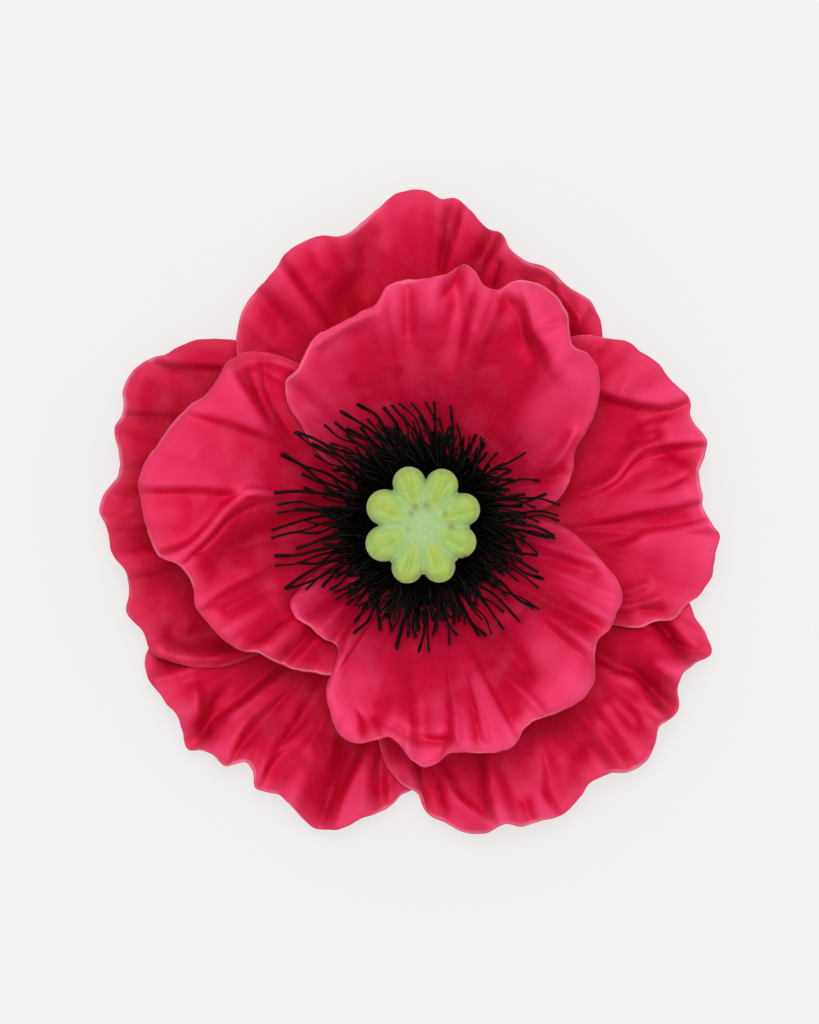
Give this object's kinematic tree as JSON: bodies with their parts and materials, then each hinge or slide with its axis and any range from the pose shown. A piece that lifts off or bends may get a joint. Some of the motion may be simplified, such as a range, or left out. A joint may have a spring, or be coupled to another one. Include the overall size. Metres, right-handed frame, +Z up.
{
  "type": "poppy flower",
  "caption": "Open flower head lying face up: ruffled crimson petals in two layers round a lobed green seed pod, with a ring of thin black stamens.",
  "frame": {"origin": "centre of the receptacle's flat underside, on the flower's axis, where the picked flower rests", "axes": "+Z up the flower's axis to the viewer who looks into the flower, +Y towards the largest upper petal, +X to that viewer's right"},
  "size_m": [0.1407, 0.1459, 0.0403],
  "materials": {
    "stalk_green": "matte green",
    "petal_red": "soft matte crimson petal sheet",
    "collar_black": "matte olive black",
    "pod_green": "satin yellow-green with a pale bloom",
    "fringe_black": "satin black thread"
  },
  "bodies": {
    "root": {"receptacle": "stalk_green", "outer_petal_lower_left": "petal_red", "outer_petal_left": "petal_red", "outer_petal_lower_right": "petal_red", "outer_petal_top": "petal_red", "outer_petal_right": "petal_red", "inner_petal_left": "petal_red", "inner_petal_top": "petal_red", "inner_petal_lower": "petal_red", "stamen_collar": "collar_black", "seed_pod": "pod_green", "stamen_tuft_upper_01": "fringe_black", "stamen_tuft_upper_02": "fringe_black", "stamen_tuft_upper_03": "fringe_black", "stamen_tuft_upper_04": "fringe_black", "stamen_tuft_upper_05": "fringe_black", "stamen_tuft_upper_06": "fringe_black", "stamen_tuft_upper_07": "fringe_black", "stamen_tuft_upper_08": "fringe_black", "stamen_tuft_upper_09": "fringe_black", "stamen_tuft_upper_10": "fringe_black", "stamen_tuft_upper_11": "fringe_black", "stamen_tuft_upper_12": "fringe_black", "stamen_tuft_upper_13": "fringe_black", "stamen_tuft_upper_14": "fringe_black", "stamen_tuft_upper_15": "fringe_black", "stamen_tuft_upper_16": "fringe_black", "stamen_tuft_upper_17": "fringe_black", "stamen_tuft_upper_18": "fringe_black", "stamen_tuft_upper_19": "fringe_black", "stamen_tuft_upper_20": "fringe_black", "stamen_tuft_lower_01": "fringe_black", "stamen_tuft_lower_02": "fringe_black", "stamen_tuft_lower_03": "fringe_black", "stamen_tuft_lower_04": "fringe_black", "stamen_tuft_lower_05": "fringe_black", "stamen_tuft_lower_06": "fringe_black", "stamen_tuft_lower_07": "fringe_black", "stamen_tuft_lower_08": "fringe_black", "stamen_tuft_lower_09": "fringe_black", "stamen_tuft_lower_10": "fringe_black", "stamen_tuft_lower_11": "fringe_black", "stamen_tuft_lower_12": "fringe_black", "stamen_tuft_lower_13": "fringe_black", "stamen_tuft_lower_14": "fringe_black", "stamen_tuft_lower_15": "fringe_black", "stamen_tuft_lower_16": "fringe_black", "stamen_tuft_lower_17": "fringe_black", "stamen_tuft_lower_18": "fringe_black", "stamen_tuft_lower_19": "fringe_black", "stamen_tuft_lower_20": "fringe_black"}
  },
  "joints": []
}
